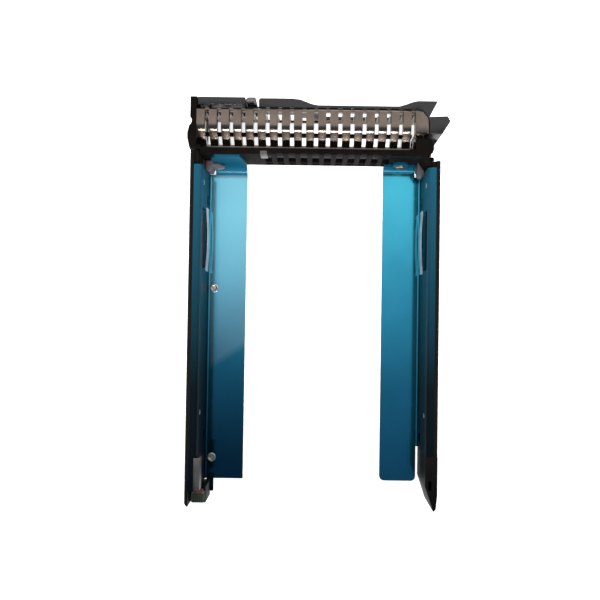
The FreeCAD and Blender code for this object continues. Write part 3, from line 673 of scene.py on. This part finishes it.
def capacitor(name, centre, size):
    """A brick with tinned ends, lying along Y on the caddy, in millimetres."""
    nothing_selected()
    bpy.ops.mesh.primitive_cube_add(
        size=1.0, location=[v * MM for v in centre], scale=[v * MM for v in size],
    )
    piece = start_piece(name)
    length = size[1]
    for side in (-1, 1):
        cut = [v * MM for v in centre]
        cut[1] += side * tin_cut * length * MM
        bpy.ops.mesh.select_all(action="SELECT")
        bpy.ops.mesh.bisect(plane_co=cut, plane_no=(0, 1, 0))
    end_piece(piece, ceramic, "caddy", round_mm=0.05)
    piece.data.materials.append(finishes["tin"])
    for face in piece.data.polygons:
        if abs(face.center.y / MM - centre[1]) > tin_face * length:
            face.material_index = 1


board_low, board_high = box_mm("contact_board")
board_x, board_y = (board_low.x + board_high.x) / 2, (board_low.y + board_high.y) / 2
contact_lift = 0.24            # height of a capacitor's middle above the board
capacitor_places = ((-1.65, -1.35), (1.6, -1.35))           # from the board's middle
for number, (dx, dy) in enumerate(capacitor_places, start=1):
    capacitor(
        f"contact_capacitor_{number}",
        (board_x + dx, board_y + dy, board_high.z + contact_lift), (0.42, 0.8, 0.42),
    )

# %% [markdown]
# **Light board.** The little upright board at the end cap carries the indicator
# lights: two white chip lights with a small raised lens each, and a capacitor between them.
# A chip light starts as a cube whose outer face is inset and drawn out in two steps.

# %% Light board parts
moulded_white = moulded_abs("white moulded epoxy", "#D9D4C8", "#EAE6DC", 0.3, 0.45, gloss=0.5)
chip_thick, chip_long, chip_tall = 0.5, 1.5, 0.8
chip_margin = 0.8              # from the board's end to the chip's middle
lens_steps = ((0.14, 0.18), (0.12, 0.1))                    # inset, then out
light_lift = 0.22              # distance of the capacitor's middle from the board
led_low, led_high = box_mm("led_board")
led_y, led_z = (led_low.y + led_high.y) / 2, (led_low.z + led_high.z) / 2
for number, z in enumerate((led_low.z + chip_margin, led_high.z - chip_margin), start=1):
    nothing_selected()
    bpy.ops.mesh.primitive_cube_add(
        size=1.0, location=((led_low.x - chip_thick / 2) * MM, led_y * MM, z * MM),
        scale=(chip_thick * MM, chip_long * MM, chip_tall * MM),
    )
    chip = start_piece(f"chip_light_{number}")
    pick_faces(chip, lambda normal: normal.x < -0.9)
    for inset, out in lens_steps:
        bpy.ops.mesh.inset(thickness=inset * MM)
        bpy.ops.mesh.extrude_region_move(TRANSFORM_OT_translate={"value": (-out * MM, 0, 0)})
    end_piece(chip, moulded_white, "caddy", round_mm=0.05)
capacitor("light_capacitor", (led_low.x - light_lift, led_y, led_z), (0.4, 0.9, 0.44))

# %% [markdown]
# ** Coil springs.** A small compression spring pushes the button back, and an upright coil
# stands by the lever's pivot.  Each coil is one round section of wire, drawn as a small
# filled circle at the coil's radius and swept by a screw modifier, the way a coiling
# machine winds it.  The wire's ends are closed again with faces.

# %% Coil springs
wire_radius = 0.17
wire_sides = 10
steps_a_turn = 28


def wound_spring(name, foot_mm, axis, coil_radius, height, turns):
    """A helical spring standing on its foot along Y or Z."""
    nothing_selected()
    bpy.ops.mesh.primitive_circle_add(
        vertices=wire_sides, radius=wire_radius * MM, fill_type="NGON",
        location=(coil_radius * MM, 0, 0),
        rotation=(math.radians(90), 0, 0) if axis == "Z" else (0, 0, 0),
    )
    piece = start_piece(name)
    bpy.ops.object.mode_set(mode="OBJECT")
    winding = piece.modifiers.new("winding", "SCREW")
    winding.axis = axis
    winding.angle = math.radians(360 * turns)
    winding.screw_offset = height * MM
    winding.steps = winding.render_steps = int(steps_a_turn * turns)
    bpy.ops.object.modifier_apply(modifier="winding")
    piece.data.transform(Matrix.Translation(Vector(foot_mm) * MM))
    only(piece)
    bpy.ops.object.mode_set(mode="EDIT")
    bpy.ops.mesh.select_all(action="SELECT")
    bpy.ops.mesh.remove_doubles(threshold=0.001 * MM)
    bpy.ops.mesh.select_mode(type="EDGE")
    bpy.ops.mesh.select_all(action="DESELECT")
    bpy.ops.mesh.select_non_manifold()
    bpy.ops.mesh.fill()
    bpy.ops.mesh.select_all(action="SELECT")
    bpy.ops.mesh.normals_make_consistent(inside=False)
    bpy.ops.object.mode_set(mode="OBJECT")
    bpy.ops.object.shade_smooth_by_angle(angle=math.radians(50))
    dress(piece, finishes["spring"])
    print(name, "turns", turns, "faces", len(piece.data.polygons))
    return piece


coil_low, coil_high = box_mm("button_spring")
coil_middle = (coil_low + coil_high) / 2
button_coil = wound_spring(
    "button_coil", (coil_middle.x, coil_low.y + wire_radius, coil_middle.z), "Y",
    coil_radius=(coil_high.x - coil_low.x) / 2 - wire_radius,
    height=coil_high.y - coil_low.y - 2 * wire_radius, turns=3.0,
)
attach(button_coil, "caddy")
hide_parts("button_spring")
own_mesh(button_coil)

# %% [markdown]
# ** The lever's spring** has the same kind of coil, standing upright on its post, and a leg
# that reaches towards the claws.  The leg is a hairpin: a filled circle is extruded towards the
# claws, spun half a turn for the bend and extruded back.  It is a piece of its own.

# %% Lever spring
spring_low, spring_high = box_mm("lever_spring")
coil_outer = (spring_high.x - spring_low.x) / 2
post_x, post_y = (spring_low.x + spring_high.x) / 2, spring_high.y - coil_outer
lever_coil = wound_spring(
    "lever_coil", (post_x, post_y, spring_low.z + 2 * wire_radius), "Z",
    coil_radius=coil_outer - wire_radius,
    height=spring_high.z - spring_low.z - 4 * wire_radius, turns=4.0,
)
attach(lever_coil, "caddy")
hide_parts("lever_spring")

bend_radius, bend_steps = 0.5, 10
return_share = 0.6             # how much of the leg's length comes back beside it
leg_x, leg_z = spring_low.x + wire_radius, spring_high.z - wire_radius
bend_y = spring_low.y + bend_radius + wire_radius
nothing_selected()
bpy.ops.mesh.primitive_circle_add(
    vertices=wire_sides, radius=wire_radius * MM, fill_type="NGON",
    rotation=(math.radians(90), 0, 0), location=(leg_x * MM, post_y * MM, leg_z * MM),
)
leg = start_piece("lever_spring_leg")
bpy.ops.mesh.select_all(action="SELECT")
bpy.ops.mesh.extrude_region_move(
    TRANSFORM_OT_translate={"value": (0, (bend_y - post_y) * MM, 0)},
)
bpy.ops.mesh.spin(
    steps=bend_steps, angle=math.pi, axis=(0, 0, 1),
    center=((leg_x + bend_radius) * MM, bend_y * MM, leg_z * MM),
)
bpy.ops.mesh.extrude_region_move(
    TRANSFORM_OT_translate={"value": (0, return_share * (post_y - bend_y) * MM, 0)},
)
end_piece(leg, finishes["spring"], "caddy", round_mm=0.02, segments=1)
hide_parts("lever_spring")
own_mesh(leg)
print("hairpin from y", round(post_y, 2), "to", round(spring_low.y, 2))

# %% [markdown]
# ## Floor, lamp and camera
# The caddy lies on a plain pale floor: opal acrylic with a weak light under it, as on a
# product table, so the grille's slots show white.  A plane is all it takes, because only
# the frosting's fine bump and the glow matter.

# %% Floor
floor_size = 30.0
bpy.ops.mesh.primitive_plane_add(size=floor_size, location=(0, 0, cad_box[0][2]))
floor = bpy.context.object
floor.name = "floor"
floor_material, tree, place, output = new_material("opal acrylic table")
frosting = add(tree, "ShaderNodeTexNoise", {"Vector": place, "Scale": per_mm(0.8), "Detail": 2.0})
bump = add(tree, "ShaderNodeBump", {
    "Height": frosting.outputs["Fac"], "Strength": 0.03, "Distance": 0.02 * MM,
})
table = add(tree, "ShaderNodeBsdfPrincipled", {
    "Base Color": linear("#F4F4F3"), "Roughness": 0.9, "Normal": bump.outputs["Normal"],
    "Emission Color": linear("#FFFFFF"), "Emission Strength": 0.85,
})
tree.links.new(table.outputs["BSDF"], output.inputs["Surface"])
dress(floor, floor_material)
print("floor", floor_size, "m wide, at height", round(cad_box[0][2], 6))

# %% [markdown]
# A long narrow strip lamp hangs behind and above the rear end and rakes the grille.  Each
# rib's rounded crest mirrors it as one thin white line, and a grid over the lamp narrows
# its beam.

# %% Strip lamp
lamp_place = Vector((0, 134, 150)) * MM
crest_place = Vector((0, -55, 14)) * MM
strip = bpy.data.lights.new("crest_strip", "AREA")
strip.shape = "RECTANGLE"
strip.size, strip.size_y = 340 * MM, 22 * MM
strip.energy = 0.22
strip.spread = math.radians(52)
lamp = bpy.data.objects.new("crest_strip", strip)
lamp.location = lamp_place
lamp.rotation_euler = (crest_place - lamp_place).to_track_quat("-Z", "Y").to_euler()
bpy.context.collection.objects.link(lamp)
print("strip lamp", round(strip.energy, 2), "W")

# %% [markdown]
# The room itself is the big soft light.  It is bright above the bezel and dim above the
# rear, and the lacquered strips mirror that change along their length.  A colour ramp
# on the direction's Y gives the brightness, and a pale band runs all round the horizon.

# %% Room light
room_strength = 2.2
horizon_level = 0.22
room_levels = (                # place from front to rear, and the light that comes from there
    (0.0, (0.45, 0.45, 0.45)),
    (0.30, (0.8, 0.8, 0.8)),
    (0.385, (0.96, 0.95, 0.94)),
    (0.415, (0.9, 0.9, 0.9)),
    (0.49, (0.34, 0.42, 0.5)),
    (0.54, (0.15, 0.2, 0.27)),
    (0.62, (0.05, 0.07, 0.12)),
    (0.72, (0.03, 0.04, 0.06)),
    (1.0, (0.03, 0.03, 0.04)),
)
world = bpy.data.worlds.new("studio")
world.use_nodes = True
room = world.node_tree
room.nodes.clear()
direction = add(room, "ShaderNodeTexCoord").outputs["Generated"]
parts = add(room, "ShaderNodeSeparateXYZ", {"Vector": direction})
position = add(room, "ShaderNodeMapRange", {
    "Value": parts.outputs["Y"], "From Min": -1.0, "From Max": 1.0,
})
glow = add(room, "ShaderNodeValToRGB", {"Fac": position.outputs["Result"]})
ramp = glow.color_ramp
while len(ramp.elements) < len(room_levels):
    ramp.elements.new(0.5)
for stop, (stop_place, level) in zip(ramp.elements, room_levels):
    stop.position, stop.color = stop_place, (*level, 1.0)
horizon = add(room, "ShaderNodeMapRange", {
    "Value": parts.outputs["Z"], "From Min": 0.06, "From Max": 0.22,
    "To Min": horizon_level, "To Max": 0.0,
}).outputs["Result"]
whole = add(room, "ShaderNodeMix", {
    0: 1.0, 6: glow.outputs["Color"], 7: horizon,
}, data_type="RGBA", blend_type="LIGHTEN").outputs[2]
sky = add(room, "ShaderNodeBackground", {"Color": whole, "Strength": room_strength})
add(room, "ShaderNodeOutputWorld", {"Surface": sky.outputs["Background"]})
bpy.context.scene.world = world
bpy.context.scene.view_settings.view_transform = "Standard"
print("room light in", len(room_levels), "steps")

# %% [markdown]
# The camera looks almost straight down, with the bezel at the top of the picture.  It leans
# by less than a degree towards the rear end, turns by as little, and its lens is shifted
# sideways a touch, because the caddy lies slightly off the middle.

# %% Camera
camera_height_mm = 196.0
lens_shift_mm = -0.798
turn_deg = 0.85
tilt_deg = 0.93
eye = bpy.data.cameras.new("overhead")
eye.sensor_width = 36.0
eye.lens = 35.1
eye.shift_x = lens_shift_mm / eye.sensor_width
eye.clip_start = 0.01
lean = math.radians(tilt_deg)
viewer = bpy.data.objects.new("overhead", eye)
viewer.location = Vector((0, math.sin(lean), math.cos(lean))) * camera_height_mm * MM
viewer.rotation_euler = (lean, 0, math.pi + math.radians(turn_deg))
bpy.context.collection.objects.link(viewer)
bpy.context.scene.camera = viewer
print("camera", camera_height_mm, "mm above the floor")

# %% [markdown]

# %% Finish
nothing_selected()
